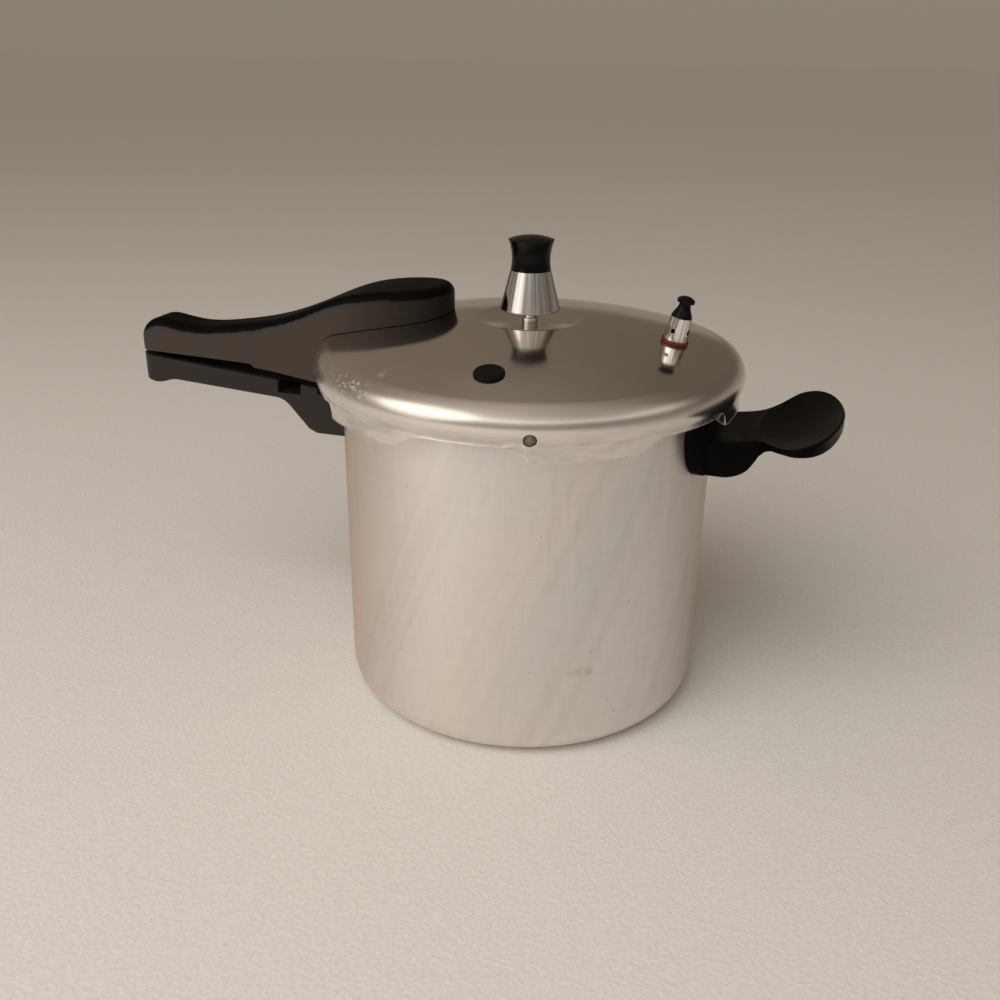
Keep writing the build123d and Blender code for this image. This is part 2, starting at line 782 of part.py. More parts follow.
def make_lower_handle():
    body = slab(lower_side(), grip_half_width)
    body = fillet([edge for edge in body.edges() if is_lower_bottom(edge)], lower_bottom_round)
    body = body & above(lower_foot_low, lower_plan())
    body -= lower_hollow()
    inside = grip_half_width - lower_hollow_wall - overcut
    body -= brick(
        (pot_radius + notch_start, pot_radius + notch_end), (inside, 2 * grip_half_width),
        (rim_z(notch_floor), pot_height))
    body -= disc(pot_radius + seat_gap, rim_z(lower_foot_low) - overcut, pot_height)
    body -= long_bracket_pocket()
    body -= long_screw_hole()
    return half_turn * body


def is_lower_bottom(edge):
    """True for the edges along the underside of the lower half."""
    middle = edge @ 0.5
    run = edge.tangent_at(0.5)
    limit = rim_z(lower_top_root - lid_relief_depth) - close_gap
    return middle.Z < limit and abs(run.X) > 0


def lower_hollow():
    """The channel in the top of the lower half."""
    inner = lower_hollow_start
    outer = handle_length - grip_end_round
    side = make_face(Polyline(*profile([
        (inner, lower_low_root + lower_hollow_floor), (outer, lower_tail_line[0][1] + lower_hollow_floor),
        (outer, 0), (inner, 0)]), close=True))
    return slab(side, grip_half_width - lower_hollow_wall)


# Brackets on the pot wall, drawn on the +X side
def bracket(half_width, height, middle_z, tang_length, gap):
    """A plate that hugs the wall, with a tang that the handle sits on, grown by a gap."""
    near = pot_radius + close_gap - gap
    far = pot_radius + close_gap + bracket_thickness + gap
    low = rim_z(middle_z) - height / 2 - gap
    high = rim_z(middle_z) + height / 2 + gap
    sides = (-half_width - gap, half_width + gap)
    plate = tube(far, near, low, high) & brick((0, far + overcut), sides, (low, high))
    tang = brick(
        (far - bracket_thickness / 2, pot_radius + tang_length + gap),
        (-bracket_tang_width / 2 - gap, bracket_tang_width / 2 + gap),
        (rim_z(middle_z) - bracket_tang_height / 2 - gap, rim_z(middle_z) + bracket_tang_height / 2 + gap))
    return plate + tang


def bracket_pocket(half_width, height, middle_z, tang_length):
    """Room in a handle for a bracket and the outer rivet heads."""
    room = bracket(half_width, height, middle_z, tang_length, seat_gap)
    far = pot_radius + close_gap + bracket_thickness + rivet_head_height + 2 * seat_gap
    low = rim_z(middle_z) - height / 2 - seat_gap
    high = rim_z(middle_z) + height / 2 + seat_gap
    sides = (-half_width - seat_gap, half_width + seat_gap)
    return room + (disc(far, low, high) & brick((pot_radius / 2, far), sides, (low, high)))


def long_bracket_pocket():
    return bracket_pocket(long_bracket_half_width, long_bracket_height, long_bracket_z, long_tang_length)


def helper_bracket_pocket():
    return bracket_pocket(
        helper_bracket_half_width, helper_bracket_height, helper_bracket_z, helper_tang_length)


def screw_bore(reach, low, top):
    """Hole for a handle screw with its sunk head, from below."""
    head_top = low + handle_screw_sink + handle_screw_head_height
    bore = disc(handle_screw_head_radius + seat_gap, low - overcut, head_top)
    bore += disc(handle_screw_radius + seat_gap, low, top)
    return Pos(reach, 0, 0) * bore


long_screw_reach = pot_radius + long_screw_length
helper_screw_reach = pot_radius + helper_screw_length


def screw_top(middle_z):
    """Where a handle screw ends, above the tang that it is threaded into."""
    return rim_z(middle_z) + bracket_tang_height / 2 + handle_screw_past


def long_screw_hole():
    return screw_bore(long_screw_reach, rim_z(lower_foot_low), screw_top(long_bracket_z) + seat_gap)


def helper_screw_hole():
    return screw_bore(helper_screw_reach, rim_z(helper_low), screw_top(helper_bracket_z) + seat_gap)


def make_bracket(half_width, height, middle_z, tang_length, screw_reach, side):
    plate = bracket(half_width, height, middle_z, tang_length, 0.0)
    plate -= Pos(screw_reach, 0, 0) * disc(
        handle_screw_radius + close_gap, rim_z(middle_z) - height, rim_z(middle_z) + height)
    plate = side * plate
    for place in rivet_places():
        plate -= place * rivet_hole()
    return plate


def handle_screw(reach, low, top):
    """A screw that goes up through a handle into its bracket's tang."""
    head_low = low + handle_screw_sink
    head_top = head_low + handle_screw_head_height - close_gap
    screw = disc(handle_screw_head_radius, head_low, head_top)
    screw += disc(handle_screw_radius, head_low + handle_screw_head_height / 2, top)
    slot = Pos(0, 0, head_low) * Box(screw_slot_width, 4 * handle_screw_head_radius, 2 * screw_slot_depth)
    return Pos(reach, 0, 0) * (screw - slot)


# Rivets. Each place has its own X axis square to the pot wall.
def rivet_places():
    long_lift = long_bracket_height / 2 - rivet_inset
    helper_swing = degrees(asin((helper_bracket_half_width - rivet_inset) / pot_radius))
    places = []
    for side in (1, -1):
        places.append(half_turn * Pos(0, 0, rim_z(long_bracket_z + side * long_lift)))
        places.append(Rot(0, 0, side * helper_swing) * Pos(0, 0, rim_z(helper_bracket_z)))
    return places


def bar_along_x(radius, start, end):
    """A round bar along X between two reaches."""
    middle = (Align.CENTER, Align.CENTER, Align.MIN)
    return Pos(start, 0, 0) * Rot(0, 90, 0) * Cylinder(radius, end - start, align=middle)


def rivet_hole():
    outside = pot_radius + bracket_thickness + overcut
    return bar_along_x(rivet_radius + close_gap, pot_inner_radius - overcut, outside)


def make_rivets():
    inside = pot_inner_radius - close_gap
    outside = pot_radius + bracket_thickness + 2 * close_gap
    rivet = bar_along_x(rivet_radius, inside - rivet_head_height, outside + rivet_head_height)
    rivet += bar_along_x(rivet_head_radius, inside - rivet_head_height, inside)
    rivet += bar_along_x(rivet_head_radius, outside, outside + rivet_head_height)
    return Compound(children=[place * rivet for place in rivet_places()])


# Helper handle
helper_low = helper_under_line[0][1]
helper_back = pot_radius - helper_saddle_depth


def helper_plan():
    """Outline of the wing and its neck from above."""
    waist = pot_radius + helper_waist_length
    wing = pot_radius + helper_wing_length
    edge = Spline(
        (pot_radius, helper_block_half_width), (waist, helper_waist_half_width),
        (wing, helper_wing_half_width), (pot_radius + helper_length, 0),
        tangents=[(1, -0.05), (1, 0), (1, 0.12), (0, -1)],
        tangent_scalars=[1, 1, 0.8, 1])
    back = Line((helper_back, helper_block_half_width), (pot_radius, helper_block_half_width))
    close = Line((helper_back, helper_block_half_width), (helper_back, -helper_block_half_width))
    return make_face([close, back, edge, back.mirror(Plane.XZ), edge.mirror(Plane.XZ)])


def helper_side():
    """Side outline of the block, the neck and the thin rising wing."""
    wing_under = [(length, height - helper_rim_thickness) for length, height in helper_top_line[-2:]]
    top = Spline(*profile(helper_top_line))
    under = Spline(*profile(helper_under_line + wing_under))
    back = -helper_saddle_depth
    return make_face([
        top,
        under,
        Polyline(*profile([wing_under[-1], helper_top_line[-1]])),
        Polyline(*profile([
            helper_top_line[0], (back, helper_top_line[0][1]), (back, helper_low), helper_under_line[0]])),
    ])


def helper_saddle():
    """The flared base that wraps the pot wall beside the block."""
    face = pot_radius + helper_saddle_lip
    edge = sqrt(pot_radius ** 2 - helper_saddle_half_width ** 2)
    plan = make_face(Polyline(
        (helper_back, -helper_saddle_half_width), (edge, -helper_saddle_half_width),
        (face, -helper_block_half_width), (face, helper_block_half_width),
        (edge, helper_saddle_half_width), (helper_back, helper_saddle_half_width), close=True))
    low = rim_z(helper_low)
    top = rim_z(helper_saddle_top)
    foot = helper_saddle_foot_half_width
    half_width = helper_saddle_half_width
    shield = make_face([
        Line((0, foot, low), (0, -foot, low)),
        Spline((0, foot, low), (0, half_width, top), tangents=[(0, 1, 0.35), (0, 0.12, 1)]),
        Line((0, half_width, top), (0, -half_width, top)),
        Spline((0, -foot, low), (0, -half_width, top), tangents=[(0, -1, 0.35), (0, -0.12, 1)]),
    ])
    solid = extrude(Pos(0, 0, low) * plan, top - low)
    return solid & extrude(shield, 2 * pot_radius, dir=(1, 0, 0))


def wing_slope():
    """Rise of the wing's flat rim for each millimetre along it."""
    (start, start_height), (finish, finish_height) = helper_top_line[-2:]
    return (finish_height - start_height) / (finish - start)


def on_wing(length, rise):
    """A place on the wing's rim plane at a length from the pot's wall, with Z square to the plane."""
    start, start_height = helper_top_line[-2]
    slope = wing_slope()
    middle = Pos(pot_radius + length, 0, rim_z(start_height + slope * (length - start)))
    return middle * Rot(0, -degrees(atan2(slope, 1.0)), 0) * Pos(0, 0, rise)


def arc_radius(half_span, depth):
    """Radius of the circle that sinks to a depth over a span."""
    return (half_span ** 2 + depth ** 2) / (2 * depth)


def helper_spoon(grow):
    """The shallow bowl of the wing, cut by the outside of a large ring and grown by a wall."""
    reach = helper_wing_length + helper_dish_shift
    across = arc_radius(helper_wing_half_width - helper_rim_land, helper_dish_depth)
    along = arc_radius(helper_length - reach - helper_rim_land, helper_dish_depth)
    ring = Torus(across - along, along + grow)
    return on_wing(reach, across - helper_dish_depth) * Rot(0, 90, 0) * ring


def make_helper_handle():
    plan = above(helper_low, helper_plan())
    body = slab(helper_side(), 2 * helper_wing_half_width) & plan
    waist = pot_radius + helper_waist_length
    top_edges = body.faces().sort_by(Axis.Z)[-1].edges()
    body = fillet([edge for edge in top_edges if (edge @ 0.5).X > waist], helper_edge_round)
    wide = 2 * handle_end
    under_rim = on_wing(helper_wing_length, -helper_rim_thickness / 2 - wide / 2) * Box(wide, wide, wide)
    body += helper_spoon(helper_dish_wall) & plan & under_rim
    body -= helper_spoon(0.0)
    body = body & helper_ledge_room()
    body += helper_saddle()
    body -= disc(pot_radius + seat_gap, rim_z(helper_low) - overcut, pot_height)
    body -= tube(lid_radius + overcut, rim_radius, lid_low - lug_side_gap, pot_height)
    body -= helper_bracket_pocket()
    body -= helper_screw_hole()
    return body


def helper_ledge_room():
    """Room that makes the block a little narrower than the plate above it."""
    narrow = helper_waist_half_width - helper_ledge
    wide = 2 * helper_wing_half_width
    ledge = rim_z(helper_ledge_height)
    reach = (0, 2 * handle_end)
    block = brick(reach, (-narrow, narrow), (0, ledge + overcut))
    return block + brick(reach, (-wide, wide), (ledge, pot_height))


def main():
    os.makedirs("parts", exist_ok=True)
    save("pot_body", make_pot())
    save("lid_shell", make_lid())
    save("sealing_gasket", make_gasket())
    save("vent_pipe", make_vent_pipe())
    save("vent_washer", make_vent_washer())
    save("vent_nut", make_vent_nut())
    save("regulator_weight", make_weight())
    save("regulator_needle", make_needle())
    save("regulator_cap", make_weight_cap())
    save("overpressure_plug", make_plug())
    save("safety_valve_ring", make_valve_ring())
    save("safety_valve_body", make_valve_body())
    save("safety_valve_stem", make_valve_stem())
    save("safety_valve_cap", make_valve_cap())
    save("safety_valve_spring", make_valve_spring())
    save("safety_valve_nut", make_valve_nut())
    save("lid_handle_screws", make_lid_screws())
    save("lid_handle_washers", make_lid_washers())
    save("lid_handle_inserts", make_lid_inserts())
    save("upper_handle", make_upper_handle())
    save("lower_handle", make_lower_handle())
    save("helper_handle", make_helper_handle())
    save("lower_handle_bracket", make_bracket(
        long_bracket_half_width, long_bracket_height, long_bracket_z, long_tang_length,
        long_screw_reach, half_turn))
    save("helper_handle_bracket", make_bracket(
        helper_bracket_half_width, helper_bracket_height, helper_bracket_z, helper_tang_length,
        helper_screw_reach, Rot(0, 0, 0)))
    save("bracket_rivets", make_rivets())
    save("lower_handle_screw", half_turn * handle_screw(
        long_screw_reach, rim_z(lower_foot_low), screw_top(long_bracket_z)))
    save("helper_handle_screw", handle_screw(
        helper_screw_reach, rim_z(helper_low), screw_top(helper_bracket_z)))


main()
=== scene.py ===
import math
import bmesh
import bpy
from mathutils import Matrix, Vector


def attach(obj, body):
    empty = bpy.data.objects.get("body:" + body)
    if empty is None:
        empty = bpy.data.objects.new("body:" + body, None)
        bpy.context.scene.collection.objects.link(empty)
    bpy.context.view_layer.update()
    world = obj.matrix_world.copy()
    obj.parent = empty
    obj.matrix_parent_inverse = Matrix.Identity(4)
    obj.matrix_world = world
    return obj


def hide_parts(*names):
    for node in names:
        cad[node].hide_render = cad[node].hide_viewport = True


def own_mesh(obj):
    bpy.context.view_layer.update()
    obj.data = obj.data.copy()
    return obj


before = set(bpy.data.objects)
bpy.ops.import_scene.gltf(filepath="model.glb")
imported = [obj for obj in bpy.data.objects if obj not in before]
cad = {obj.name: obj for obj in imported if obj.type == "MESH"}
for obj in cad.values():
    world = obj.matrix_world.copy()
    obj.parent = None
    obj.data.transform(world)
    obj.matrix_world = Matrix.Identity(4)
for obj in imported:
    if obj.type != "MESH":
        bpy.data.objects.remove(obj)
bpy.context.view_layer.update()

# Lengths are in metres, in the frame of the solids
valve_axis = Vector((0.196305, 0.0, 0.980543))
valve_lean = math.atan2(valve_axis.x, valve_axis.z)
valve_point = (0.0866, 0.0, 0.23125)
valve_hollow_radius = 0.0054
weight_hollow_radius = 0.0045
skirt_least_reach = 0.1213
skirt_edge_top = 0.2003
edge_least_angle = math.radians(22)
edge_radius = 0.00042
edge_inset = 0.00026
floor_half_width = 30.0
floor_height = -0.0004


class Paint:
    """A node tree with short ways to add and join nodes."""

    def __init__(self, tree):
        self.tree = tree

    def node(self, kind, inputs=(), **settings):
        made = self.tree.nodes.new(kind)
        for key, value in settings.items():
            setattr(made, key, value)
        self.feed(made, inputs)
        return made

    def feed(self, node, inputs):
        for key, value in dict(inputs).items():
            if isinstance(value, bpy.types.NodeSocket):
                self.tree.links.new(value, node.inputs[key])
            else:
                node.inputs[key].default_value = value

    def math(self, operation, a, b=0.0, c=0.0):
        made = self.node("ShaderNodeMath", {0: a, 1: b, 2: c}, operation=operation)
        return made.outputs[0]

    def plus(self, a, b):
        return self.math("ADD", a, b)

    def times(self, a, b):
        return self.math("MULTIPLY", a, b)

    def larger(self, a, b):
        return self.math("MAXIMUM", a, b)

    def vector(self, operation, a, b=(0, 0, 0)):
        return self.node("ShaderNodeVectorMath", {0: a, 1: b}, operation=operation)

    def noise(self, at, scale=1.0, detail=2.0, roughness=0.5):
        inputs = {"Vector": at, "Scale": scale, "Detail": detail, "Roughness": roughness}
        return self.node("ShaderNodeTexNoise", inputs).outputs["Fac"]

    def span(self, value, low, high, out_low=0.0, out_high=1.0):
        """A value mapped smoothly from one range to another and held at its ends."""
        inputs = {0: value, 1: low, 2: high, 3: out_low, 4: out_high}
        made = self.node("ShaderNodeMapRange", inputs, interpolation_type="SMOOTHSTEP")
        return made.outputs[0]

    def ramp(self, value, *stops):
        """A colour for each value, from stops of a position and a colour."""
        made = self.node("ShaderNodeValToRGB", {0: value})
        points = made.color_ramp.elements
        while len(points) < len(stops):
            points.new(0.5)
        for point, (position, colour) in zip(points, stops):
            point.position = position
            point.color = (*colour, 1.0)
        return made.outputs[0]

    def mix(self, amount, a, b):
        made = self.node("ShaderNodeMix", data_type="RGBA")
        full = [(*c, 1.0) if isinstance(c, tuple) else c for c in (a, b)]
        self.feed(made, {0: amount, 6: full[0], 7: full[1]})
        return made.outputs[2]

    def bump(self, height, strength, distance, normal=None):
        inputs = {"Height": height, "Strength": strength, "Distance": distance}
        if normal is not None:
            inputs["Normal"] = normal
        return self.node("ShaderNodeBump", inputs).outputs[0]

    def at(self):
        """The place on the piece."""
        return self.node("ShaderNodeTexCoord").outputs["Object"]

    def facing_up(self):
        """How far the surface faces up, from -1 to 1."""
        return self.parts(self.node("ShaderNodeTexCoord").outputs["Normal"])[2]

    def parts(self, at):
        return self.node("ShaderNodeSeparateXYZ", {0: at}).outputs

    def stretched(self, at, x, y, z):
        return self.vector("MULTIPLY", at, (x, y, z)).outputs[0]

    def flat(self, at):
        """The place without its height."""
        x, y, _ = self.parts(at)
        return self.node("ShaderNodeCombineXYZ", {0: x, 1: y}).outputs[0]

    def reach(self, at):
        """The distance from the Z axis."""
        return self.vector("LENGTH", self.flat(at)).outputs["Value"]

    def turned(self, at, around, along, level=None):
        """Coordinates scaled round the Z axis and along a level, by default the height."""
        if level is None:
            level = self.parts(at)[2]
        x, y, _ = self.parts(self.vector("NORMALIZE", self.flat(at)).outputs[0])
        inputs = {0: self.times(x, around), 1: self.times(y, around), 2: self.times(level, along)}
        return self.node("ShaderNodeCombineXYZ", inputs).outputs[0]

    def twisted(self, at, rate):
        """The place turned about the Z axis by its height times a rate."""
        inputs = {"Vector": at, "Angle": self.times(self.parts(at)[2], rate)}
        return self.node("ShaderNodeVectorRotate", inputs, rotation_type="Z_AXIS").outputs[0]

    def near(self, at, point, inner, outer):
        """1 within a distance of a point, falling to 0 at a larger one."""
        distance = self.vector("DISTANCE", at, point).outputs["Value"]
        return self.span(distance, inner, outer, 1.0, 0.0)

    def way_round(self):
        """The direction round the Z axis, along which turned metal is brushed."""
        return self.node("ShaderNodeTangent", direction_type="RADIAL", axis="Z").outputs[0]


class Surface(Paint):
    """A new material's node tree, with the fixed values of its shader set."""

    def __init__(self, name, **fixed):
        self.made = bpy.data.materials.new(name)
        self.made.use_nodes = True
        super().__init__(self.made.node_tree)
        self.shader = self.tree.nodes["Principled BSDF"]
        self.shade(**fixed)

    def shade(self, **inputs):
        """Feeds the shader's sockets, each named in lower case with _ for its spaces."""
        for key, value in inputs.items():
            words = key.replace("_", " ").title().replace("Ior", "IOR")
            self.feed(self.shader, {words: value})


# Metals
def pot_metal():
    """Aluminium brushed round, with slanting streaks, mottling and a few stains."""
    p = Surface(
        "pot_aluminium", metallic=1.0, anisotropic=0.75, anisotropic_rotation=0.25,
        specular_tint=(0.89, 0.77, 0.67, 1.0))
    at = p.at()
    leaning = p.twisted(at, -3.9)
    patches = p.noise(p.turned(leaning, around=1.5, along=3.0), detail=1.0)
    streaks = p.noise(p.turned(leaning, around=11.0, along=2.0))
    mottle = p.noise(p.turned(at, around=46.0, along=60.0), detail=4.0, roughness=0.6)
    grooves = p.noise(p.turned(at, around=1.2, along=1900.0))
    warm, cool = (0.91, 0.845, 0.79), (0.83, 0.84, 0.855)
    colour = p.ramp(patches, (0.30, warm), (0.70, cool))
    colour = p.mix(p.span(streaks, 0.45, 0.75, 0.0, 0.22), colour, (0.68, 0.645, 0.61))
    colour = p.mix(p.span(mottle, 0.48, 0.78, 0.0, 0.24), colour, (0.70, 0.675, 0.645))
    colour = p.mix(p.span(grooves, 0.40, 0.75, 0.0, 0.15), colour, (0.64, 0.615, 0.585))
    # a few fine specks
    speck_brown, stain_brown = (0.40, 0.34, 0.28), (0.36, 0.26, 0.18)
    specks = p.span(p.noise(at, 330.0, detail=1.0), 0.775, 0.81)
    colour = p.mix(p.times(specks, 0.5), colour, speck_brown)
    # low on the front, the soft smear left by a drop, flattened by counting heights double
    drop_place, smear_place = (0.0643, -0.0892, 0.0559), (0.0592, -0.0927, 0.1118)
    drop = p.near(at, drop_place, 0.0008, 0.0040)
    smear = p.near(p.stretched(at, 1.0, 1.0, 2.0), smear_place, 0.0010, 0.0085)
    stain = p.larger(p.times(drop, 0.42), p.times(smear, 0.26))
    uneven = p.span(p.noise(at, 170.0, detail=1.0), 0.30, 0.65, 0.35, 1.0)
    colour = p.mix(p.times(stain, uneven), colour, stain_brown)
    worn = p.plus(p.span(patches, 0.3, 0.7, 0.36, 0.42), p.span(mottle, 0.4, 0.8, 0.0, 0.05))
    # the wall is not quite true, and a soft crease runs round above the base
    waves = p.noise(p.turned(at, around=6.0, along=2.0))
    crease_low, crease_middle, crease_high = 0.0100, 0.0118, 0.0136
    height = p.parts(at)[2]
    rising = p.span(height, crease_low, crease_middle)
    falling = p.span(height, crease_middle, crease_high, 1.0, 0.0)
    crease = p.times(p.times(rising, falling), -1.0)
    normal = p.bump(waves, strength=0.4, distance=0.0020)
    normal = p.bump(crease, 0.25, 0.0003, normal)
    normal = p.bump(grooves, 0.08, 0.0001, normal)
    p.shade(base_color=colour, roughness=worn, normal=normal, tangent=p.way_round())
    return p.made


def lid_metal():
    """Brighter turned aluminium, rougher on the skirt with darker streaks painted as reflections,
    and scuffed on the shoulder.
    """
    p = Surface("lid_aluminium", metallic=1.0, anisotropic=0.3, anisotropic_rotation=0.25)
    at = p.at()
    height = p.parts(at)[2]
    reach = p.reach(at)
    clouds = p.noise(at, 18.0, detail=3.0)
    turning = p.noise(p.turned(at, around=1.5, along=1300.0, level=reach))
    colour = p.ramp(clouds, (0.3, (0.80, 0.755, 0.71)), (0.7, (0.86, 0.825, 0.785)))
    colour = p.mix(p.span(turning, 0.40, 0.75, 0.0, 0.14), colour, (0.70, 0.665, 0.625))
    # the skirt is painted darker in streaks that run round it, as painted reflections of a darker
    # room
    skirt_full, skirt_end = 0.1975, 0.2035
    reflection_streaks = p.noise(p.turned(at, around=4.5, along=190.0), detail=3.0, roughness=0.6)
    skirt = p.span(height, skirt_full, skirt_end, 1.0, 0.0)
    painted_skirt_reflection = p.times(p.span(reflection_streaks, 0.40, 0.62, 0.0, 0.42), skirt)
    colour = p.mix(painted_skirt_reflection, colour, (0.47, 0.45, 0.43))
    # pale scuffs worn on the shoulder beside the long handle, and a few fine ones elsewhere
    shoulder_reach = 0.1222
    scuff_place, patch_place = (-0.0720, -0.0985, 0.2070), (-0.0505, -0.0960, 0.2160)
    scuff_and_side_light = p.noise(p.turned(at, around=30.0, along=700.0), detail=4.0, roughness=0.65)
    grainy = p.noise(at, 300.0, detail=4.0, roughness=0.65)
    off_shoulder = p.math("ABSOLUTE", p.math("SUBTRACT", reach, shoulder_reach))
    where = p.near(at, scuff_place, 0.010, 0.030)
    where = p.times(where, p.span(off_shoulder, 0.0015, 0.0050, 1.0, 0.0))
    where = p.times(where, p.span(height, 0.1985, 0.2025, 0.12, 1.0))
    patch = p.near(at, patch_place, 0.0020, 0.0065)
    marks = p.times(p.span(scuff_and_side_light, 0.535, 0.63), where)
    marks = p.larger(marks, p.times(p.span(grainy, 0.52, 0.60), patch))
    fine = p.span(p.noise(at, 260.0), 0.72, 0.78)
    marks = p.larger(marks, p.times(fine, 0.3))
    colour = p.mix(p.times(marks, 0.8), colour, (0.95, 0.935, 0.91))
    # rougher from the shoulder outwards and in the scuffs
    shoulder_start, shoulder_full = 0.1135, 0.1180
    worn = p.span(clouds, 0.3, 0.7, 0.11, 0.16)
    worn = p.plus(worn, p.span(reach, shoulder_start, shoulder_full, 0.0, 0.12))
    worn = p.plus(worn, p.times(marks, 0.40))
    waves = p.noise(p.turned(at, around=2.2, along=45.0, level=reach))
    normal = p.bump(waves, strength=0.10, distance=0.0010)
    normal = p.bump(turning, 0.05, 0.0001, normal)
    p.shade(base_color=colour, roughness=worn, normal=normal, tangent=p.way_round())
    return p.made


def chrome_metal(name, centre, lean, around, hollow):
    """Bright plating on a turned piece, with painted reflections in bands up its sides and painted
    shade within its hollow.
    """
    p = Surface(name, metallic=1.0, specular_tint=(0.30, 0.29, 0.28, 1.0))
    place = p.vector("SUBTRACT", p.at(), centre).outputs[0]
    inputs = {"Vector": place, "Angle": -lean}
    place = p.node("ShaderNodeVectorRotate", inputs, rotation_type="Y_AXIS").outputs[0]
    # the light, dark and greenish bands round the sides are painted reflections of a room
    reflection_bands = p.noise(p.turned(place, around, along=3.0), detail=1.5, roughness=0.6)
    colour = p.ramp(
        reflection_bands,
        (0.30, (0.40, 0.385, 0.37)),
        (0.37, (0.62, 0.64, 0.63)),
        (0.43, (0.93, 0.92, 0.90)),
        (0.50, (0.86, 0.82, 0.76)),
        (0.55, (0.52, 0.50, 0.475)),
        (0.60, (0.90, 0.87, 0.83)),
        (0.68, (0.44, 0.42, 0.395)))
    # within the hollow the plating is painted near black as shade, so that the ports read as holes
    hollow_fade = 0.0004
    painted_hollow_shade = p.span(p.reach(place), hollow, hollow + hollow_fade, 1.0, 0.0)
    p.shade(
        base_color=p.mix(painted_hollow_shade, colour, (0.012, 0.011, 0.010)),
        roughness=p.span(p.noise(place, 60.0), 0.3, 0.7, 0.05, 0.12),
        normal=p.bump(reflection_bands, strength=0.3, distance=0.0006))
    return p.made


def grained_metal(name, scale, detail, dark, light, rough):
    """A metal of two close colours in a fine grain, scaled along X, Y and Z."""
    p = Surface(name, metallic=1.0)
    grain = p.noise(p.stretched(p.at(), *scale), detail=detail)
    p.shade(
        base_color=p.ramp(grain, (0.3, dark), (0.7, light)),
        roughness=p.span(grain, 0.3, 0.7, *rough))
    return p.made


# Plastics and rubbers
def plastic(name, dark, light, rough, grain_scale, grain_depth, shine=0.3):
    """A moulded piece: two close colours in soft clouds, and a fine grain."""
    p = Surface(name, specular_ior_level=shine)
    at = p.at()
    clouds = p.noise(at, 45.0, detail=3.0)
    p.shade(
        base_color=p.ramp(clouds, (0.3, dark), (0.7, light)),
        roughness=p.span(clouds, 0.3, 0.7, *rough),
        normal=p.bump(p.noise(at, grain_scale), strength=0.2, distance=grain_depth))
    return p.made


def handle_plastic(name, side, corner_highlight, top, scuff_and_side_light, shine):
    """A long handle's moulding, dark on top; its grip's sides paler, partly their own tone and
    partly painted light, and its rounded corners with a painted highlight.
    """
    p = Surface(name, specular_ior_level=shine)
    at = p.at()
    uneven = p.span(p.noise(at, 70.0, detail=3.0), 0.3, 0.7, -0.06, 0.06)
    rise = p.plus(p.facing_up(), uneven)
    # the painted light on the sides fades from the outer grip towards the pot, where the sides grow
    # darker
    grip_full, grip_end = -0.125, -0.055
    grip = p.span(p.parts(at)[0], grip_full, grip_end, 1.0, scuff_and_side_light)
    # upward faces take the dark top, sides the side colour that is partly painted light, and
    # rounded corners a painted highlight band
    colour = p.mix(p.span(rise, 0.02, 0.14), p.mix(grip, top, side), p.mix(grip, top, corner_highlight))
    dust = p.noise(at, 900.0, detail=3.0, roughness=0.6)
    dust_colour = tuple(1.5 * c for c in side)
    colour = p.mix(p.span(dust, 0.52, 0.82, 0.0, 0.25), colour, dust_colour)
    dusty_top = p.mix(p.span(dust, 0.52, 0.82, 0.0, 0.06), top, side)
    colour = p.mix(p.span(rise, 0.20, 0.42), colour, dusty_top)
    p.shade(
        base_color=colour,
        roughness=p.span(rise, 0.3, 0.9, 0.38, 0.50),
        normal=p.bump(p.noise(at, 1900.0), strength=0.25, distance=0.00008))
    return p.made


def dress(made, *names):
    """Puts a material on the solids of these names."""
    for name in names:
        for holder in cad[name].material_slots:
            holder.material = made


dress(pot_metal(), "pot_body")
dress(lid_metal(), "lid_shell")
dress(
    chrome_metal(
        "regulator_chrome", centre=(0.0, 0.0, 0.0), lean=0.0, around=3.6,
        hollow=weight_hollow_radius),
    "regulator_weight")
dress(
    chrome_metal(
        "valve_chrome", centre=valve_point, lean=valve_lean, around=2.6,
        hollow=valve_hollow_radius),
    "safety_valve_body")
dress(
    grained_metal(
        "plain_steel", scale=(300.0, 300.0, 900.0), detail=2.0,
        dark=(0.52, 0.485, 0.455), light=(0.66, 0.625, 0.59), rough=(0.20, 0.34)),
    "vent_pipe", "vent_washer", "vent_nut", "regulator_needle", "safety_valve_stem",
    "safety_valve_spring", "safety_valve_nut", "lid_handle_screws", "lid_handle_washers",
    "lower_handle_bracket", "helper_handle_bracket", "bracket_rivets", "lower_handle_screw",
    "helper_handle_screw")
dress(
    grained_metal(
        "brass", scale=(400.0, 400.0, 400.0), detail=2.0,
        dark=(0.66, 0.47, 0.21), light=(0.76, 0.57, 0.28), rough=(0.25, 0.38)),
    "lid_handle_inserts")
# each handle's side colour holds painted light and its corner colour a painted highlight
dress(
    handle_plastic(
        "upper_black", side=(0.052, 0.041, 0.034), corner_highlight=(0.036, 0.037, 0.039),
        top=(0.0020, 0.0017, 0.0014), scuff_and_side_light=0.35, shine=0.03),
    "upper_handle")
dress(
    handle_plastic(
        "lower_black", side=(0.022, 0.018, 0.0155), corner_highlight=(0.022, 0.0205, 0.020),
        top=(0.0080, 0.0072, 0.0066), scuff_and_side_light=0.8, shine=0.18),
    "lower_handle")
dress(
    plastic(
        "helper_black", dark=(0.0018, 0.0016, 0.0014), light=(0.0036, 0.0031, 0.0027),
        rough=(0.26, 0.36), grain_scale=900.0, grain_depth=0.00005, shine=0.03),
    "helper_handle")
dress(
    plastic(
        "black_cap", dark=(0.0016, 0.0016, 0.0016), light=(0.0034, 0.0031, 0.0029),
        rough=(0.15, 0.22), grain_scale=1200.0, grain_depth=0.00003, shine=0.12),
    "regulator_cap", "safety_valve_cap")
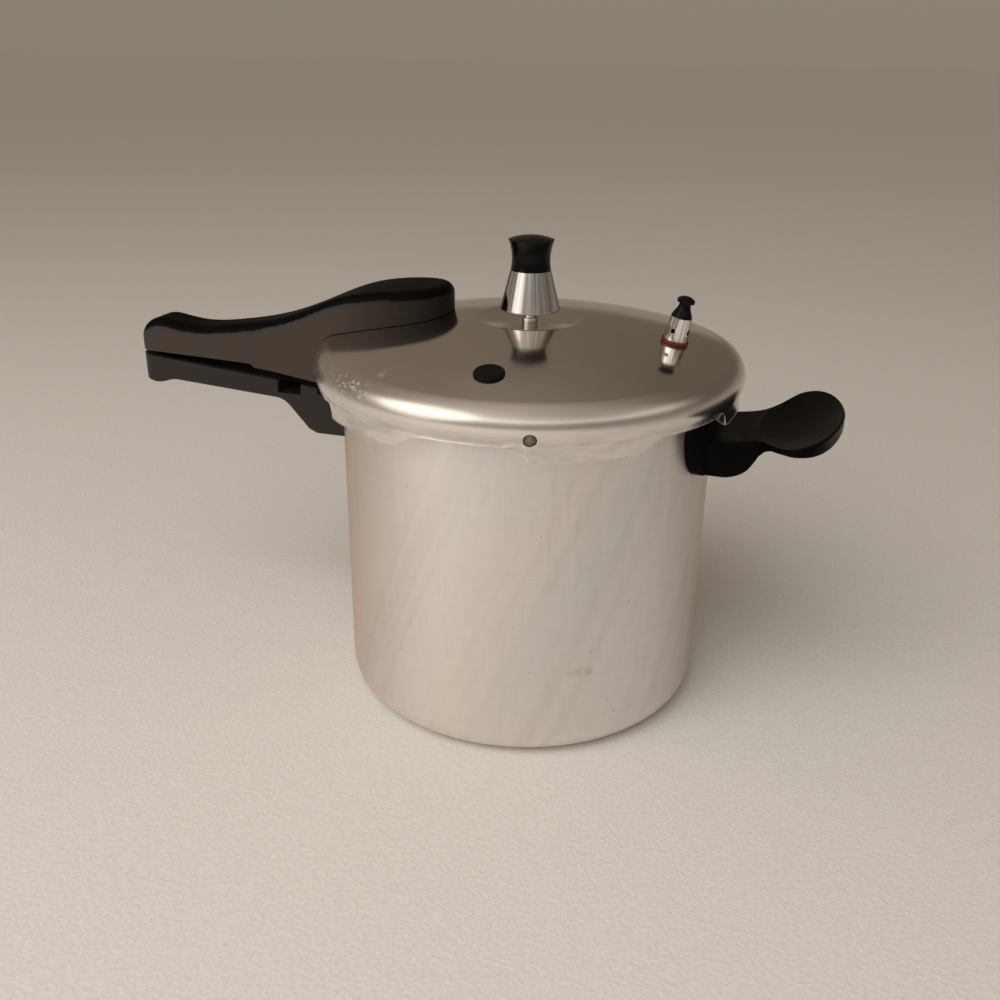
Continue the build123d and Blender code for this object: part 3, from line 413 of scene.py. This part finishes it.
dress(
    plastic(
        "plug_rubber", dark=(0.0025, 0.0025, 0.0025), light=(0.0050, 0.0046, 0.0042),
        rough=(0.50, 0.62), grain_scale=1500.0, grain_depth=0.0001, shine=0.12),
    "overpressure_plug")
dress(
    plastic(
        "gasket_rubber", dark=(0.022, 0.022, 0.022), light=(0.032, 0.031, 0.030),
        rough=(0.55, 0.68), grain_scale=900.0, grain_depth=0.0001),
    "sealing_gasket")
dress(
    plastic(
        "red_silicone", dark=(0.085, 0.013, 0.009), light=(0.125, 0.020, 0.013),
        rough=(0.42, 0.52), grain_scale=900.0, grain_depth=0.00005),
    "safety_valve_ring")


# The bright edges of the lid's skirt
def sharp_runs(mesh, least_angle, inset, keep):
    """The mesh's sharp outward edges that are kept, as runs of points set in a little.

    Each run comes with whether it closes on itself.
    """
    copy = bmesh.new()
    copy.from_mesh(mesh)
    bmesh.ops.remove_doubles(copy, verts=copy.verts, dist=1e-6)
    copy.normal_update()
    sharp = {edge for edge in copy.edges
             if len(edge.link_faces) == 2 and edge.calc_face_angle_signed(0.0) > least_angle
             and all(keep(v.co) for v in edge.verts)}
    links = {}
    for edge in sorted(sharp, key=lambda e: e.index):
        for v in edge.verts:
            links.setdefault(v, []).append(edge)

    def walk(v, edge):
        points = [v]
        while edge is not None:
            sharp.discard(edge)
            v = edge.other_vert(v)
            points.append(v)
            onward = [e for e in links[v] if e in sharp]
            edge = onward[0] if len(links[v]) == 2 and onward else None
        return points

    def set_in(v):
        outward = sum((face.normal for edge in links[v] for face in edge.link_faces), Vector())
        return v.co - inset * outward.normalized()

    runs = []
    ends = [v for v in links if len(links[v]) != 2]
    for v in ends + list(links):
        for edge in links[v]:
            if edge in sharp:
                runs.append(walk(v, edge))
    placed = [([set_in(v) for v in run], run[0] == run[-1]) for run in runs if len(run) > 3]
    copy.free()
    return placed


def on_skirt(point):
    return math.hypot(point.x, point.y) > skirt_least_reach and point.z < skirt_edge_top


def make_skirt_edges():
    """Thin tubes of rubbed metal along the edges of the skirt."""
    curve = bpy.data.curves.new("lid_skirt_edges", "CURVE")
    curve.dimensions = "3D"
    curve.bevel_depth = edge_radius
    curve.bevel_resolution = 2
    curve.use_fill_caps = True
    shell = cad["lid_shell"].data
    for points, closed in sharp_runs(shell, edge_least_angle, edge_inset, on_skirt):
        if closed:
            points = points[:-1]
        spline = curve.splines.new("POLY")
        spline.points.add(len(points) - 1)
        spline.use_cyclic_u = closed
        for spot, point in zip(spline.points, points):
            spot.co = (*point, 1.0)
    draft = bpy.data.objects.new("lid_skirt_edges_draft", curve)
    mesh = bpy.data.meshes.new_from_object(draft)
    bpy.data.objects.remove(draft)
    mesh.name = "lid_skirt_edges"
    mesh.materials.clear()
    mesh.materials.append(grained_metal(
        "lid_edge", scale=(260.0, 260.0, 260.0), detail=3.0,
        dark=(0.82, 0.79, 0.755), light=(0.93, 0.915, 0.89), rough=(0.26, 0.38)))
    mesh.polygons.foreach_set("use_smooth", [True] * len(mesh.polygons))
    piece = bpy.data.objects.new("lid_skirt_edges", mesh)
    bpy.context.scene.collection.objects.link(piece)
    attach(piece, "lid")


# The safety valve's spring
def make_valve_coil():
    """The spring, in its solid's material, as a piece of the lid with its own copy of the mesh, in
    place of the solid.
    """
    coil = bpy.data.objects.new("safety_valve_coil", cad["safety_valve_spring"].data.copy())
    bpy.context.scene.collection.objects.link(coil)
    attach(coil, "lid")
    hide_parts("safety_valve_spring")
    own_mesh(coil)


make_skirt_edges()
make_valve_coil()


# Floor, world, lamps and camera
def make_floor():
    far = floor_half_width
    corners = [(-far, -far), (far, -far), (far, far), (-far, far)]
    mesh = bpy.data.meshes.new("floor")
    mesh.from_pydata([(x, y, floor_height) for x, y in corners], [], [(0, 1, 2, 3)])
    floor = bpy.data.objects.new("floor", mesh)
    bpy.context.scene.collection.objects.link(floor)
    p = Surface("floor_pale", roughness=0.9, specular_ior_level=0.1)
    nap = p.noise(p.at(), 420.0, detail=3.0)
    p.shade(
        base_color=p.ramp(nap, (0.3, (0.60, 0.565, 0.535)), (0.7, (0.66, 0.63, 0.605))),
        normal=p.bump(nap, strength=0.25, distance=0.0015))
    mesh.materials.append(p.made)


def make_world():
    """A pale room, lighter to the left, with a soft bright band in front and a dim wall beyond."""
    world = bpy.data.worlds.new("studio")
    bpy.context.scene.world = world
    world.use_nodes = True
    p = Paint(world.node_tree)
    way = p.node("ShaderNodeTexCoord").outputs["Generated"]
    # 0.5 at the level of the eye and 1 straight up
    rise = p.math("MULTIPLY_ADD", p.parts(way)[2], 0.5, 0.5)
    horizon, ceiling = (0.255, 0.218, 0.176), (0.42, 0.37, 0.31)
    far = p.ramp(
        rise,
        (0.500, horizon),
        (0.530, (0.262, 0.225, 0.182)),
        (0.560, (0.165, 0.132, 0.100)),
        (0.82, (0.175, 0.142, 0.110)),
        (0.90, (0.25, 0.21, 0.165)),
        (0.96, (0.36, 0.31, 0.25)),
        (1.0, ceiling))
    front = p.ramp(
        rise,
        (0.500, horizon),
        (0.560, (0.27, 0.24, 0.205)),
        (0.655, (0.33, 0.305, 0.275)),
        (0.71, (0.98, 0.91, 0.78)),
        (0.765, (1.0, 0.94, 0.82)),
        (0.82, (0.58, 0.52, 0.44)),
        (1.0, ceiling))
    away, rightwards = (-0.30, 0.954, 0.0), (0.954, 0.30, 0.0)
    beyond = p.vector("DOT_PRODUCT", way, away).outputs["Value"]
    aside = p.vector("DOT_PRODUCT", way, rightwards).outputs["Value"]
    sky = p.mix(p.span(beyond, -0.25, 0.25), front, far)
    # the left is lighter than the right, but not at the horizon
    side = p.span(aside, -0.5, 0.6, 0.2, -0.32)
    level = p.math("MULTIPLY_ADD", side, p.span(rise, 0.52, 0.57), 1.0)
    p.feed(world.node_tree.nodes["Background"], {"Color": sky, "Strength": level})


def disk_lamp(name, place, target, size, power, colour, mirrored=True):
    """A round lamp that faces a target, and shows in reflections if mirrored."""
    lamp = bpy.data.lights.new(name, "AREA")
    lamp.shape = "DISK"
    lamp.size = size
    lamp.energy = power
    lamp.color = colour
    holder = bpy.data.objects.new(name, lamp)
    holder.location = place
    turn = (Vector(target) - Vector(place)).to_track_quat("-Z", "Y")
    holder.rotation_euler = turn.to_euler()
    holder.visible_glossy = mirrored
    bpy.context.scene.collection.objects.link(holder)


def make_camera():
    """The camera that was fitted to the photograph."""
    camera = bpy.data.objects.new("camera", bpy.data.cameras.new("camera"))
    camera.data.lens = 37.8
    camera.data.sensor_width = 36.0
    place = (0.166587, -0.580959, 0.374576)
    right = Vector((0.951961, 0.305955, 0.012717))
    up = Vector((-0.132344, 0.37362, 0.918092))
    back = Vector((0.276143, -0.875671, 0.396163))
    turn = Matrix((right, up, back)).transposed().to_4x4()
    camera.matrix_world = Matrix.Translation(place) @ turn
    bpy.context.scene.collection.objects.link(camera)
    bpy.context.scene.camera = camera


make_floor()
make_world()
disk_lamp(
    "lamp_left", place=(-1.45, -1.72, 1.35), target=(0.0, 0.0, 0.1), size=2.4, power=12.0,
    colour=(1.0, 0.93, 0.84))
disk_lamp(
    "lamp_fill", place=(-0.25, -1.30, 1.40), target=(0.0, -0.15, 0.0), size=1.8, power=25.0,
    colour=(1.0, 0.985, 0.97), mirrored=False)
make_camera()
bpy.context.scene.view_settings.view_transform = "Standard"
